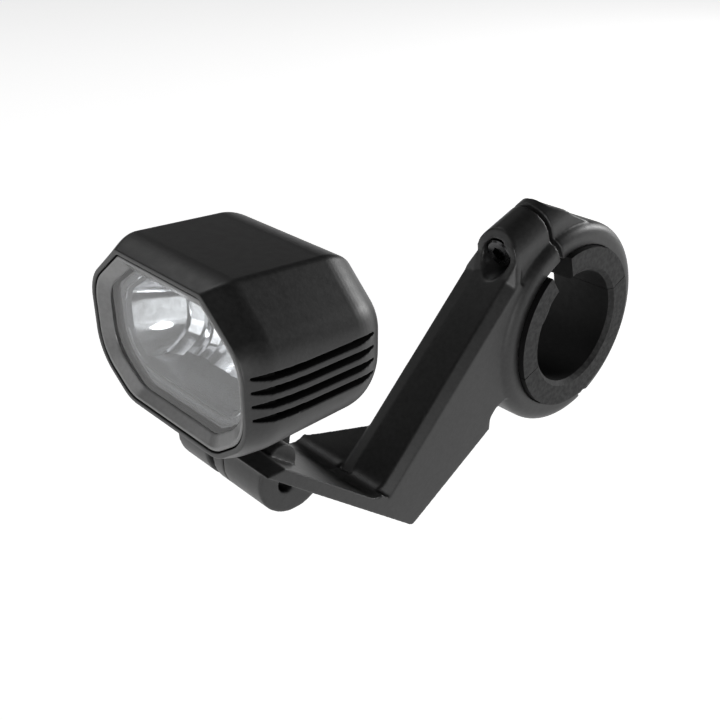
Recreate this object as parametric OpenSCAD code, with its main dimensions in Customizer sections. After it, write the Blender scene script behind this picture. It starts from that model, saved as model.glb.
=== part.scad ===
// Bicycle headlight on a one-sided handlebar bracket, in millimetres.
// Origin: centre of the handlebar bore. X runs along the handlebar,
// -Y is the direction of the beam and +Z is up.

/* [Handlebar clamp] */
// Bore of the clamp without the reducing shims
clamp_bore_d = 31.8; // [28:0.1:36]
// Bore left by the shims, which is the handlebar diameter
bar_d = 22.2; // [19:0.1:26]
// Wall of the clamp ring
clamp_wall = 4.1; // [3.4:0.1:6]
// Width of the clamp ring along the handlebar
clamp_w = 12.5; // [11:0.5:18]
// Rounding of the outer edges of the clamp ring
clamp_round = 2.4; // [0.8:0.1:2.8]
// How far the shims stand out of each face of the clamp
shim_proud = 1.1; // [0.6:0.1:2]
// Angle of the split beside the clamp screw, seen along -X
split_angle = 110; // [106:1:114]
// Angle of the hook joint on the other side of the bore
hook_angle = -68; // [-76:1:-60]
// Width of the open split beside the clamp screw
split_gap = 0.8; // [0.5:0.1:1.4]
// Radius of the two bosses that the clamp screw draws together
clamp_boss_r = 4.6; // [4.3:0.1:5.2]
// Distance of the clamp screw from the centre of the bore
clamp_screw_off = 21.6; // [21.4:0.1:23.5]
// Length of the clamp screw under its head
clamp_screw_len = 10; // [9:0.5:10]

/* [Bracket] */
// Width of the arm that rises to the clamp
arm_w = 11.6; // [9.6:0.5:12.6]
// Step between the arm's right face and the face of the clamp ring
arm_step = 1; // [0.4:0.1:1.6]
// Slope of the arm's front face above the horizontal
arm_slope = 44.5; // [42:0.5:47]
// Thickness of the sloping plate under the lamp
plate_t = 2.3; // [1.8:0.1:3.2]
// Slope of the plate, which rises towards the lamp
plate_slope = 38.8; // [36:0.2:41]
// Width of the plate and of the pivot barrel's wing
plate_w = 24; // [22.5:0.5:28]
// Bevel of the arm's right front edge
arm_bevel = 1.5; // [0.8:0.1:2.2]
// Width of the shallow bevel along the arm's left front edge
arm_slant = 2.6; // [1.6:0.1:3]

/* [Tilt pivot] */
// Outer radius of the pivot barrel
barrel_r = 6.9; // [6.2:0.1:7.4]
// Distance of the pivot in front of the handlebar centre
pivot_fwd = 66.1; // [62:0.5:72]
// Distance of the pivot below the handlebar centre
pivot_drop = 4; // [2:0.5:7]
// Flat on top of the barrel, above the pivot axis
barrel_flat = 3.1; // [2.9:0.1:3.6]
// Thickness of the lamp's tongue inside the barrel
tongue_t = 2.7; // [2.2:0.1:3.5]
// Thickness of the friction washer beside the tongue
washer_t = 1.5; // [1:0.1:2]
// Length of the right knuckle of the barrel
knuckle_right = 9.4; // [8:0.2:10.4]
// Length of the left knuckle of the barrel
knuckle_left = 8.2; // [7:0.2:9.4]
// Clearance beside each moving face of the tongue
side_gap = 0.1; // [0.05:0.01:0.15]
// Nominal diameter of the pivot screw and the clamp screw
screw_d = 3; // [2.5:0.5:3]

/* [Lamp body] */
// Width of the lamp's front rim
rim_w = 38.6; // [36:0.2:42]
// Height of the lamp's front rim
rim_h = 25.4; // [24:0.2:27]
// Swell of the body behind the rim, on each side
body_swell = 1; // [0.6:0.1:1.6]
// Depth of the lamp body from rim to back
body_depth = 28.2; // [27.6:0.1:30]
// Height of the rim's lower edge above the pivot axis
rim_rise = 9.3; // [9:0.1:12]
// Distance of the rim in front of the pivot axis
rim_fwd = 14.6; // [14:0.1:17]
// Rounding between the body's sides and its back
back_round = 9; // [7:0.5:9.5]
// Wall of the housing
housing_wall = 1.8; // [1.4:0.1:2.2]
// Length of the cooling grooves in each side
groove_len = 22.6; // [16:0.2:23]
// Height of one cooling groove
groove_h = 1.15; // [0.8:0.05:1.3]
// Distance between the cooling grooves
groove_pitch = 2.1; // [1.9:0.05:2.4]
// Number of cooling grooves in each side
groove_count = 4; // [2:1:4]
// Depth of the cooling grooves
groove_depth = 2.4; // [1.2:0.1:2.8]

/* [Lens and bezel] */
// Lip of the housing around the bezel
lip_t = 0.7; // [0.5:0.05:1]
// Gap between the housing lip and the bezel
bezel_gap = 0.2; // [0.1:0.05:0.3]
// Width of the bezel's flat front edge
bezel_edge = 0.5; // [0.3:0.1:1]
// Width of the bezel's sloping inner wall
bezel_slope = 1.5; // [1.2:0.1:2.4]
// Depth of the lens behind the rim
lens_depth = 1.5; // [1.2:0.1:3]
// Thickness of the lens
lens_t = 1.8; // [1.2:0.1:2.4]
// Thickness of the gasket behind the lens
gasket_t = 0.8; // [0.5:0.1:1.2]

/* [Optics and electronics] */
// Wall of the reflector
bowl_wall = 1; // [0.8:0.1:1.3]
// Height of the shelf in the reflector above the rim's lower edge
shelf_rise = 6.2; // [5.4:0.2:7]
// Fullness of the reflector bowl, where 2 is a plain parabola
bowl_full = 3.2; // [2:0.1:4]
// Thickness of the light source's metal-core board
led_board_t = 1.4; // [1:0.1:1.6]
// Side of the square light-emitting diode
led_side = 3.5; // [3:0.1:4.2]
// Thickness of the heat-conducting pad
pad_t = 0.3; // [0.2:0.1:0.5]
// Thickness of the aluminium carrier
carrier_t = 3; // [2:0.1:3.4]
// Thickness of the driver board
driver_t = 1; // [0.8:0.1:1.2]
// Room for the driver's parts in front of the back wall
parts_room = 4.9; // [4:0.1:6]
// Bore of the cable grommet
cable_bore_d = 3.4; // [2.5:0.1:4]
// Distance of the cable's inlet from the lamp's middle, away from the clamp
cable_shift = 1.5; // [1.4:0.1:3]
// Length of the grommet behind the lamp
grommet_len = 5.2; // [4:0.1:7]

/* [Hidden] */
$fn = 64;
eps = 0.01;
fit = 0.05;              // radial clearance of seated round parts
turn_fit = 0.06;         // radial running clearance at the pivot
far = 100;               // reach of cutting blocks

// Metric screw sizes, scaled from the nominal diameter
head_r = screw_d * 0.917;
head_h = screw_d;
socket_r = screw_d * 0.48;
hole_r = screw_d / 2 + 0.2;
sink_r = head_r + 0.25;
insert_r = screw_d / 2 + 0.7;

// Clamp, with angles measured from +Y towards +Z
bore_r = clamp_bore_d / 2;
bar_r = bar_d / 2;
ring_r = bore_r + clamp_wall;
ring_mid = bore_r + clamp_wall / 2;
half_clamp = clamp_w / 2;
shim_r = bore_r - fit;
half_shim = half_clamp + shim_proud;
shim_edge = 0.8;
shim_gap_mid = split_angle + 5.5;
shim_gap = 20;
seam_rear = 24;
seam_front = seam_rear + 177;
seam_cut = 0.15;
hook_r = clamp_wall * 0.36;
hook_fit = 0.12;
hook_bite = 0.8;

// Clamp screw: distances along it start at the split and grow towards the rear
half_split = split_gap / 2;
boss_front = -9.6;
head_seat = -6;
boss_foot = bore_r - 0.4;
clamp_insert_at = half_split + 0.4;
clamp_insert_len = 3.2;

// Bracket in the side view, as [Y, Z]
arm_right = half_clamp - arm_step;
arm_left = arm_right - arm_w;
arm_dir = [cos(arm_slope), sin(arm_slope)];
arm_up = [-sin(arm_slope), cos(arm_slope)];
plate_dir = [-cos(plate_slope), sin(plate_slope)];
plate_up = [sin(plate_slope), cos(plate_slope)];
pivot = [-pivot_fwd, -pivot_drop];
plate_over = 0.38;                        // plate top above the pivot axis
arm_front0 = [-30.3, 1.4];                // a point on the arm's front face
arm_rear0 = [-21.4, -14.5];               // upper end of the arm's rear face
arm_rear_slope = 30.6;
arm_top = [-17.4, 14.4];
flat_z = -pivot_drop + barrel_flat;
plate_right = arm_right;
plate_left = plate_right - plate_w;
bend_round = 3.5;
wall_t = 2.6;
wall_back = 1.1;

// Pivot barrel along X
wing_t = plate_w - knuckle_left - knuckle_right - tongue_t - washer_t - 3 * side_gap;
knuckle_right_x = plate_right - wing_t;
tongue_right = knuckle_right_x - knuckle_right - side_gap;
tongue_left = tongue_right - tongue_t;
washer_left = tongue_left - side_gap - washer_t;
knuckle_left_x = washer_left - side_gap;
lamp_x = (tongue_left + tongue_right) / 2;
slot_reach = barrel_r + 0.6;
washer_r = barrel_r - 2.5;
neck_w = 9;
tunnel_r = barrel_flat;
pivot_screw_len = 14;
pivot_insert_len = 5;

// Lamp body: outline points are [half width, height above the rim's lower edge]
rim_y = -pivot_fwd - rim_fwd;
rim_z = -pivot_drop + rim_rise;
rim_half = rim_w / 2;
rim_shape = [
    [rim_half * 0.6, 0],
    [rim_half, rim_h * 0.22],
    [rim_half, rim_h * 0.72],
    [rim_half * 0.55, rim_h]
];
belly_low = 1;
belly_shape = [
    [rim_half * 0.62, -belly_low],
    [rim_half + body_swell, rim_h * 0.2],
    [rim_half + body_swell, rim_h * 0.74],
    [rim_half * 0.64, rim_h + 1.2]
];
tail_shape = [
    [rim_half * 0.64, -belly_low + 0.6],
    [rim_half + body_swell, rim_h * 0.22],
    [rim_half + body_swell, rim_h * 0.7],
    [rim_half * 0.64, rim_h + 0.3]
];
corner_radii = [6, 8, 7, 1.6];
arc_steps = 5;
belly_at = 4.8;                            // depth of the crease in front of the top
tail_at = body_depth - back_round;

// Stack behind the rim, measured from the rim plane
lens_at = lens_depth;
gasket_at = lens_at + lens_t;
bowl_at = gasket_at + gasket_t;
shoulder_at = bowl_at + bowl_wall;

// Stack in front of the back wall, and the bowl that fills the rest
board_gap = 0.2;
driver_end = body_depth - housing_wall - parts_room;
carrier_end = driver_end - driver_t;
carrier_at = carrier_end - carrier_t;
pad_at = carrier_at - pad_t;
board_at = pad_at - led_board_t;
bowl_depth = board_at - board_gap - shoulder_at;

optic_z = rim_z + rim_h * 0.5;
bezel_out = lip_t + bezel_gap;
bezel_in = bezel_out + bezel_edge + bezel_slope;
lens_out = bezel_in - 1.2;
room_side = rim_half + body_swell - groove_depth - housing_wall + 0.4;
room_shape = [
    [rim_half * 0.6, 2.1],
    [room_side, rim_h * 0.26],
    [room_side, rim_h * 0.7],
    [rim_half * 0.55, rim_h - 2]
];

// Unit vector of a 2-D vector
function unit(v) = v / norm(v);

// Points of the arc that rounds corner b of the path a, b, c with radius r
function corner(a, b, c, r, steps) =
    let (u = unit(a - b), v = unit(c - b), open = acos(max(-1, min(1, u * v))))
    let (mid = b + unit(u + v) * r / sin(open / 2))
    let (p = b + u * r / tan(open / 2) - mid, q = b + v * r / tan(open / 2) - mid)
    [for (i = [0:steps]) let (t = i / steps, span = 180 - open)
        mid + (sin((1 - t) * span) * p + sin(t * span) * q) / sin(span)];

// Closed outline of a list of corners, each rounded with its own radius
function rounded(pts, radii, steps = arc_steps) =
    [for (i = [0:len(pts) - 1])
        each corner(pts[(i + len(pts) - 1) % len(pts)], pts[i], pts[(i + 1) % len(pts)],
            radii[i], steps)];

// Lamp outline from the right-hand corners, mirrored to the left and drawn in by inset
function drawn_in(half, inset) = [
    [half[0][0] - inset * 0.6, half[0][1] + inset],
    [half[1][0] - inset, half[1][1] + inset * 0.55],
    [half[2][0] - inset, half[2][1] - inset * 0.4],
    [half[3][0] - inset * 0.5, half[3][1] - inset]
];
function mirrored(half) = concat(half, [for (i = [3:-1:0]) [-half[i][0], half[i][1]]]);
function radii_for(inset) = [for (r = concat(corner_radii, [for (i = [3:-1:0]) corner_radii[i]]))
    max(1, r - inset * 0.45)];
function lamp_outline(half, inset = 0) =
    rounded(mirrored(drawn_in(half, inset)), radii_for(inset));

// Corner list between two corner lists
function between(a, b, t) = [for (i = [0:len(a) - 1]) a[i] * (1 - t) + b[i] * t];

// Corners of the body's outline at a depth behind the rim, and how far it is drawn in there
function body_half(depth) =
    depth <= belly_at ? between(rim_shape, belly_shape, sin(90 * depth / belly_at))
    : between(belly_shape, tail_shape, min(1, (depth - belly_at) / (tail_at - belly_at)));
function body_inset(depth) =
    depth <= tail_at ? 0
    : back_round * (1 - sqrt(max(0, 1 - pow((depth - tail_at) / back_round, 2))));

// Upright strips that fill a ring of n points, with one wide strip across the middle
function cap_strips(n) = let (h = n / 2) concat(
    [for (i = [0:h / 2 - 2]) [i, i + 1, h - 2 - i, h - 1 - i]],
    [for (i = [0:h / 2 - 2]) [h + i, h + i + 1, n - 2 - i, n - 1 - i]],
    [[n - 1, 0, h - 1, h]]
);

// Solid through rings of points, listed anticlockwise as seen from the front
module loft(rings) {
    n = len(rings[0]);
    last = len(rings) - 1;
    polyhedron(
        points = [for (ring = rings) each ring],
        faces = concat(
            [for (strip = cap_strips(n)) [for (j = [3:-1:0]) strip[j]]],
            [for (strip = cap_strips(n)) [for (j = [0:3]) last * n + strip[j]]],
            [for (i = [0:last - 1]) for (j = [0:n - 1]) let (k = (j + 1) % n)
                each [[i * n + j, i * n + k, (i + 1) * n + k], [i * n + j, (i + 1) * n + k, (i + 1) * n + j]]]
        ),
        convexity = 6
    );
}

// Ring of 3-D points: a lamp outline placed at a depth behind the rim plane
function placed(outline, depth) = [for (p = outline) [lamp_x + p[0], rim_y + depth, rim_z + p[1]]];

// Straight prism of a lamp outline between two depths
module lamp_prism(outline, from_depth, to_depth) {
    loft([placed(outline, from_depth), placed(outline, to_depth)]);
}

// Cylinder along +X, +Y or +Z from a point
module rod_x(at, len, r) { translate(at) rotate([0, 90, 0]) cylinder(h = len, r = r); }
module rod_y(at, len, r) { translate(at) rotate([-90, 0, 0]) cylinder(h = len, r = r); }
module rod_z(at, len, r) { translate(at) cylinder(h = len, r = r); }

// Side-view outline drawn in [Y, Z] and extruded along X
module side_slab(x0, x1) {
    translate([x0, 0, 0]) rotate([90, 0, 90]) linear_extrude(height = x1 - x0) children();
}

// Frame of the clamp screw: X along the handlebar, Y along the screw, Z away from the bore
module at_clamp_screw() {
    rotate([split_angle - 90, 0, 0]) children();
}

// Part of a turned ring about the bore axis, between two angles
module ring_sector(from_angle, to_angle) {
    rotate([90, 0, 90]) rotate([0, 0, from_angle]) rotate_extrude(angle = to_angle - from_angle) children();
}

// Socket head screw with its head at and above z = 0 and its shank below
module socket_screw(len) {
    difference() {
        union() {
            cylinder(h = head_h - 0.3, r = head_r);
            translate([0, 0, head_h - 0.3 - eps]) cylinder(h = 0.3 + eps, r1 = head_r, r2 = head_r - 0.3);
            translate([0, 0, -len]) cylinder(h = len + eps, r = screw_d / 2);
        }
        translate([0, 0, head_h * 0.45]) cylinder(h = head_h, r = socket_r, $fn = 6);
    }
}

// Small cross-recess screw with its head above z = 0
module small_screw(len, d = 2) {
    difference() {
        union() {
            cylinder(h = d * 0.6, r = d * 0.95);
            translate([0, 0, -len]) cylinder(h = len + eps, r = d / 2);
        }
        for (turn = [0, 90])
            rotate([0, 0, turn]) translate([-d * 0.5, -d * 0.12, d * 0.25]) cube([d, d * 0.24, d]);
    }
}

// Countersunk screw along +Z, let into the face at its origin, and its hole
module sunk_screw(len, r) {
    difference() {
        union() {
            translate([0, 0, 0.05]) cylinder(h = 1.05, r1 = 2, r2 = 1);
            translate([0, 0, 1]) cylinder(h = len, r = r);
        }
        cylinder(h = 1, r = 0.7, $fn = 6);
    }
}
module sunk_hole(len) {
    translate([0, 0, -1]) cylinder(h = len + 1, r = 1.1);
    translate([0, 0, -eps]) cylinder(h = 1.2, r1 = 2.2, r2 = 1.1);
}

// Threaded insert with two knurled bands
module insert(len, r) {
    difference() {
        union() {
            cylinder(h = len, r = r - 0.2);
            for (z = [0, len * 0.6]) translate([0, 0, z]) cylinder(h = len * 0.4, r = r);
        }
        translate([0, 0, -1]) cylinder(h = len + 2, r = screw_d / 2 + 0.03);
    }
}

// Rings of the housing's outside, from the rim to the back
belly_steps = 4;
tail_steps = 6;
function body_depths() = concat(
    [for (i = [0:belly_steps]) belly_at * i / belly_steps],
    [belly_at + (tail_at - belly_at) / 2],
    [for (i = [0:tail_steps]) tail_at + back_round * sin(90 * i / tail_steps)]
);
function outside_rings() = [for (d = body_depths()) placed(lamp_outline(body_half(d), body_inset(d)), d)];

// Rings of the room inside, from the back to the rim: a narrow room, a shoulder, then a wide mouth
room_bend = back_round - housing_wall;
room_steps = 4;
function room_ring(i) =
    placed(lamp_outline(room_shape, room_bend * (1 - cos(84 * i / room_steps)) * 0.85),
        tail_at + room_bend * sin(84 * i / room_steps));
function inside_rings() = concat(
    [for (i = [room_steps:-1:0]) room_ring(i)],
    [placed(lamp_outline(room_shape), shoulder_at), placed(lamp_outline(rim_shape, lip_t), shoulder_at)],
    [placed(lamp_outline(rim_shape, lip_t), 0)]
);

// One cooling groove in the side view: a slim leaf that curves up in front and ends in a point
groove_z0 = rim_z + rim_h * 0.6;
groove_from = 0.7;
groove_in = rim_half + body_swell - groove_depth;
groove_lift = 0.9;
lip_side = rim_half - lip_t + 0.5;
lip_end = shoulder_at + 0.3;
function groove_mid(t) = groove_lift * pow(max(0, 1 - t / 0.45), 2);
function groove_half(t) = groove_h / 2 * min(1, 5 * sqrt(t), 2.4 * sqrt(1 - t));
module groove_leaf(at) {
    last = len(at) - 1;
    polygon(concat(
        [for (t = at) [groove_len * t, groove_mid(t) + groove_half(t)]],
        [for (i = [last:-1:0]) let (t = at[i]) if (groove_half(t) > 0)
            [groove_len * t, groove_mid(t) - groove_half(t)]]
    ));
}
module cooling_grooves() {
    deep_from = (lip_end - groove_from) / groove_len;
    for (side = [0, 1]) translate([lamp_x, 0, 0]) mirror([side, 0, 0])
        for (i = [0:groove_count - 1]) {
            at = [rim_y + groove_from, groove_z0 - i * groove_pitch];
            // Shallow beside the bezel, deep behind it
            side_slab(lip_side, lip_side + 5) translate(at)
                groove_leaf([0, 0.015, 0.04, 0.12, deep_from + 0.01]);
            side_slab(groove_in, groove_in + 5) translate(at)
                groove_leaf([deep_from, 0.32, 0.45, 0.8, 0.93, 1]);
        }
}

// Foot of the lamp: its base is let into the underside of the housing
foot_base = [17, 15, 2.2];
foot_z = rim_z - belly_low - 0.3;
foot_screw_x = 5.6;
pad_top = 3.9;
pad_r = 2.6;
foot_screw_len = rim_z + pad_top - foot_z - 1.9;
module foot_base_block(grow = 0) {
    translate([lamp_x - foot_base[0] / 2 - grow, -pivot_fwd - foot_base[1] / 2 - grow, foot_z])
        cube([foot_base[0] + 2 * grow, foot_base[1] + 2 * grow, foot_base[2] + grow]);
}

// Cable inlet in the back
cable_x = lamp_x - cable_shift;
cable_r = cable_bore_d / 2;
grommet_r = cable_r + 1.1;
wires_r = 1;
back_y = rim_y + body_depth;

module housing_shell() {
    color("#222426") difference() {
        union() {
            loft(concat(inside_rings(), outside_rings()));
            // Pads on the floor that take the foot screws
            for (side = [-1, 1])
                rod_z([lamp_x + side * foot_screw_x, -pivot_fwd, rim_z + 0.6], pad_top - 0.6, pad_r);
        }
        cooling_grooves();
        foot_base_block(0.1);
        for (side = [-1, 1])
            rod_z([lamp_x + side * foot_screw_x, -pivot_fwd, foot_z - 1], foot_screw_len + 2.1, 0.8);
        rod_y([cable_x, back_y - housing_wall - 1, optic_z], housing_wall + 2, grommet_r);
    }
}

module front_bezel() {
    color("#2c2e30") difference() {
        lamp_prism(lamp_outline(rim_shape, bezel_out), 0.15, bowl_at - 0.05);
        // Sloping inner wall down to the lens
        loft([
            placed(lamp_outline(rim_shape, bezel_out + bezel_edge), 0.15 - eps),
            placed(lamp_outline(rim_shape, bezel_in), lens_at)
        ]);
        lamp_prism(lamp_outline(rim_shape, bezel_in), lens_at - 0.1, lens_at + 0.1);
        // Seat of the lens
        lamp_prism(lamp_outline(rim_shape, lens_out - 0.1), lens_at, gasket_at + 1);
    }
}

module front_lens() {
    color([0.8, 0.85, 0.88, 0.5])
        lamp_prism(lamp_outline(rim_shape, lens_out), lens_at, gasket_at);
}

module lens_gasket() {
    color("#101010") difference() {
        lamp_prism(lamp_outline(rim_shape, lens_out), gasket_at, bowl_at);
        lamp_prism(lamp_outline(rim_shape, lens_out + 1.6), gasket_at - 1, bowl_at + 1);
    }
}

// Bowl of the reflector: its outline shrinks towards the light source
bowl_steps = 8;
bowl_hole_r = led_side * 0.72 + 0.5;
bowl_mouth = bezel_in + 1.4;
function bowl_depth_at(i) = bowl_depth * i / bowl_steps;
function bowl_ring(i, grow, shift) =
    let (t = 0.22 + 0.78 * pow(1 - i / bowl_steps, 1 / bowl_full), c = [0, optic_z - rim_z])
    [for (p = lamp_outline(rim_shape, bowl_mouth - grow)) let (q = c + (p - c) * t)
        [lamp_x + q[0], rim_y + bowl_at + bowl_depth_at(i) + shift, rim_z + q[1]]];
module reflector() {
    color("#d8dadb") difference() {
        union() {
            lamp_prism(lamp_outline(rim_shape, bezel_out + 0.1), bowl_at + 0.05, bowl_at + bowl_wall - 0.05);
            loft([for (i = [0:bowl_steps]) bowl_ring(i, bowl_wall, i == 0 ? 0.05 : bowl_wall)]);
        }
        difference() {
            loft([for (i = [0:bowl_steps]) bowl_ring(i, 0, i == 0 ? -eps : 0)]);
            // Half-moon shelf in the lower part of the bowl
            translate([lamp_x - 20, rim_y + bowl_at + 0.6, rim_z]) cube([40, 20, shelf_rise]);
        }
        rod_y([lamp_x, rim_y + bowl_at + 1, optic_z], 20, bowl_hole_r);
    }
}

// Board, pad and carrier lie one behind the other
board_w = 16;
board_h = 11;
board_screw_x = board_w / 2 - 2.6;
module plate_y(w, h, depth, t) {
    translate([lamp_x - w / 2, rim_y + depth, optic_z - h / 2]) cube([w, t, h]);
}
module led_board() {
    color("#e9eae6") difference() {
        plate_y(board_w, board_h, board_at, led_board_t);
        for (side = [-1, 1])
            translate([lamp_x + side * board_screw_x, rim_y + board_at, optic_z])
                rotate([-90, 0, 0]) sunk_hole(4);
    }
}
module led_emitter() {
    color("#f2e36a") {
        plate_y(led_side, led_side, board_at - 0.6, 0.6);
        rod_y([lamp_x, rim_y + board_at - 0.6 - 0.9, optic_z], 0.9 + eps, led_side * 0.4);
    }
}
module led_board_screws() {
    color("#9a9c9e") for (side = [-1, 1])
        translate([lamp_x + side * board_screw_x, rim_y + board_at, optic_z])
            rotate([-90, 0, 0]) sunk_screw(led_board_t + pad_t + 1, 0.95);
}
module thermal_pad() {
    color("#7f8f9f") difference() {
        plate_y(board_w - 1, board_h - 1, pad_at, pad_t);
        for (side = [-1, 1]) {
            rod_y([lamp_x + side * board_screw_x, rim_y + pad_at - 1, optic_z], 4, 1.3);
            rod_y([lamp_x + side * wire_x, rim_y + pad_at - 1, wire_z], 4, wire_hole_r);
        }
    }
}

// Carrier that fills the room behind the reflector and takes the heat to the housing
driver_size = [26, 13];
carrier_screw_x = driver_size[0] / 2 - 2;
wire_x = 1.8;
wire_z = optic_z - board_h / 2 + 1.4;
wire_r = 0.5;
wire_hole_r = 0.75;
module led_carrier() {
    color("#b9bcbf") difference() {
        lamp_prism(lamp_outline(room_shape, 0.2), carrier_at, carrier_end);
        for (side = [-1, 1]) {
            rod_y([lamp_x + side * board_screw_x, rim_y + carrier_at - 1, optic_z], 8, 1.02);
            rod_y([lamp_x + side * carrier_screw_x, rim_y + carrier_at - 1, optic_z], 8, 0.85);
            rod_y([lamp_x + side * wire_x, rim_y + carrier_at - 1, wire_z], 8, wire_hole_r);
            // Clearance round the floor pads of a shorter lamp
            rod_z([lamp_x + side * foot_screw_x, -pivot_fwd, rim_z], pad_top + 0.3, pad_r + 0.25);
        }
    }
}
module carrier_screws() {
    color("#9a9c9e") for (side = [-1, 1])
        translate([lamp_x + side * carrier_screw_x, rim_y + driver_end, optic_z])
            rotate([-90, 0, 0]) small_screw(driver_t + carrier_t - 0.5, 1.6);
}

// Driver board behind the carrier, held by the carrier's two screws
module driver_board() {
    color("#1f5a3a") difference() {
        plate_y(driver_size[0], driver_size[1], carrier_end, driver_t);
        for (side = [-1, 1])
            rod_y([lamp_x + side * carrier_screw_x, rim_y + carrier_end - 1, optic_z], 4, 0.95);
    }
}
part_x = 5.8;
module driver_inductor() {
    color("#3a3a3a") difference() {
        rod_y([lamp_x - part_x, rim_y + driver_end, optic_z], 2, 2.4);
        rod_y([lamp_x - part_x, rim_y + driver_end + 1.2, optic_z], 2, 1);
    }
}
module driver_capacitor() {
    color("#8a8f94") rod_y([lamp_x + part_x, rim_y + driver_end, optic_z], 2.2, 2.2);
}
module board_wires() {
    color("#b02020") for (side = [-1, 1])
        rod_y([lamp_x + side * wire_x, rim_y + pad_at, wire_z], carrier_end - pad_at, wire_r);
}

// Grommet: the cable's jacket ends on a step in it, and its wires go on through a smaller hole
grommet_step = 0.6;
grommet_stem = housing_wall + 0.8;
module cable_grommet() {
    color("#141414") difference() {
        union() {
            rod_y([cable_x, back_y - grommet_stem, optic_z], grommet_stem + eps, grommet_r - fit);
            rod_y([cable_x, back_y, optic_z], grommet_len, grommet_r + 1);
        }
        rod_y([cable_x, back_y + grommet_step, optic_z], grommet_len, cable_r);
        rod_y([cable_x, back_y - grommet_stem - 1, optic_z], grommet_stem + 2, wires_r);
    }
}

// Foot with the tongue that turns in the barrel
module lamp_foot() {
    color("#1d1f20") difference() {
        union() {
            foot_base_block();
            rod_x([tongue_left, pivot[0], pivot[1]], tongue_t, barrel_r);
            translate([tongue_left, pivot[0] - neck_w / 2, pivot[1]])
                cube([tongue_t, neck_w, foot_z - pivot[1] + 1]);
        }
        rod_x([tongue_left - 1, pivot[0], pivot[1]], tongue_t + 2, screw_d / 2 + turn_fit);
        for (side = [-1, 1])
            translate([lamp_x + side * foot_screw_x, -pivot_fwd, foot_z]) sunk_hole(5);
    }
}
module foot_screws() {
    color("#8f9193") for (side = [-1, 1])
        translate([lamp_x + side * foot_screw_x, -pivot_fwd, foot_z]) sunk_screw(foot_screw_len, 0.78);
}

module tilt_washer() {
    color("#3b3b3b") difference() {
        rod_x([washer_left, pivot[0], pivot[1]], washer_t, washer_r);
        rod_x([washer_left - 1, pivot[0], pivot[1]], washer_t + 2, screw_d / 2 + turn_fit);
    }
}

pivot_head_x = plate_left + head_h + 0.2;
pivot_insert_x = tongue_right + side_gap + 0.4;
module pivot_screw() {
    color("#a6a8aa") translate([pivot_head_x, pivot[0], pivot[1]]) rotate([0, -90, 0])
        socket_screw(pivot_screw_len);
}
module pivot_insert() {
    color("#c9a24b") translate([pivot_insert_x, pivot[0], pivot[1]]) rotate([0, 90, 0])
        insert(pivot_insert_len, insert_r);
}

// Side view of the bracket
function along(p, dir, len) = p + dir * len;
function cross2(a, b) = a[0] * b[1] - a[1] * b[0];
function meet(p, d, q, e) = p + d * cross2(q - p, e) / cross2(d, e);
plate_top0 = pivot + plate_over * plate_up;
plate_low0 = plate_top0 - plate_t * plate_up;
inner_corner = meet(plate_top0, plate_dir, arm_front0, arm_dir);
outer_corner = meet(plate_low0, plate_dir, arm_rear0, [cos(arm_rear_slope), sin(arm_rear_slope)]);
tip_back = meet(plate_top0, plate_dir, [0, flat_z], [1, 0]);
tip_front = meet(plate_low0, plate_dir, [0, flat_z], [1, 0]);
wall_corner = meet(plate_top0, plate_dir, inner_corner - wall_back * arm_up, arm_dir);
wall_low = meet(wall_corner - wall_t * arm_up, arm_dir, plate_low0, plate_dir);
shoulder_low = 2.5;
module plate_side() {
    polygon(concat(
        [wall_low, tip_front, tip_back],
        corner(tip_back, wall_corner, along(wall_corner, arm_dir, 20), bend_round, 8),
        [along(wall_corner, arm_dir, shoulder_low),
            along(wall_corner, arm_dir, shoulder_low) - wall_t * arm_up]
    ));
}
module arm_side() {
    polygon(concat(
        [along(outer_corner, plate_dir, 9)],
        corner(along(outer_corner, plate_dir, 9), outer_corner, arm_rear0, 1.2, 5),
        [arm_rear0, arm_rear0 + [0.1, 2.3], arm_rear0 + [1.4, 3.8], [-bore_r * 0.9, -bore_r * 0.55],
            [-bore_r * 0.9, bore_r * 0.75], arm_top],
        corner(along(inner_corner, arm_dir, 20), inner_corner, tip_back, bend_round, 8)
    ));
}

// Wall that stiffens the bend; it falls away from the arm to the far side of the plate
shoulder_high = 10.5;
module shoulder_wall() {
    translate([0, inner_corner[0], inner_corner[1]]) rotate([arm_slope, 0, 0])
        translate([0, 0, -wall_back - wall_t]) linear_extrude(height = wall_t)
            polygon([[plate_left, -wall_t], [0, -wall_t], [0, shoulder_high + 3],
                [arm_left, shoulder_high], [plate_left, shoulder_low]]);
}

// Cutter along an edge of the arm's front face, with the bevel's width in front and down the side
module edge_cut(edge_x, side, front, down) {
    translate([0, inner_corner[0], inner_corner[1]]) rotate([arm_slope, 0, 0])
        translate([0, bend_round * 0.3 + 60, 0]) rotate([90, 0, 0]) linear_extrude(height = 60)
            polygon([[edge_x - side * 1.3 * front, 0.3 * down], [edge_x + side * 0.3 * front, -1.3 * down],
                [edge_x + side * 3, 3]]);
}
module arm_bevels() {
    edge_cut(arm_right, 1, arm_bevel, arm_bevel);
    edge_cut(arm_left, -1, arm_slant, arm_slant * 0.3);
}

// Profile of the clamp ring, as [radius, position along the bore axis]
module ring_profile() {
    n = 6;
    side = half_clamp - clamp_round;
    polygon(concat(
        [[bore_r, -half_clamp]],
        [for (i = [0:n]) let (turn = 90 * i / n)
            [ring_r - clamp_round + clamp_round * sin(turn), -side - clamp_round * cos(turn)]],
        [for (i = [n:-1:0]) let (turn = 90 * i / n)
            [ring_r - clamp_round + clamp_round * sin(turn), side + clamp_round * cos(turn)]],
        [[bore_r, half_clamp]]
    ));
}

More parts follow.
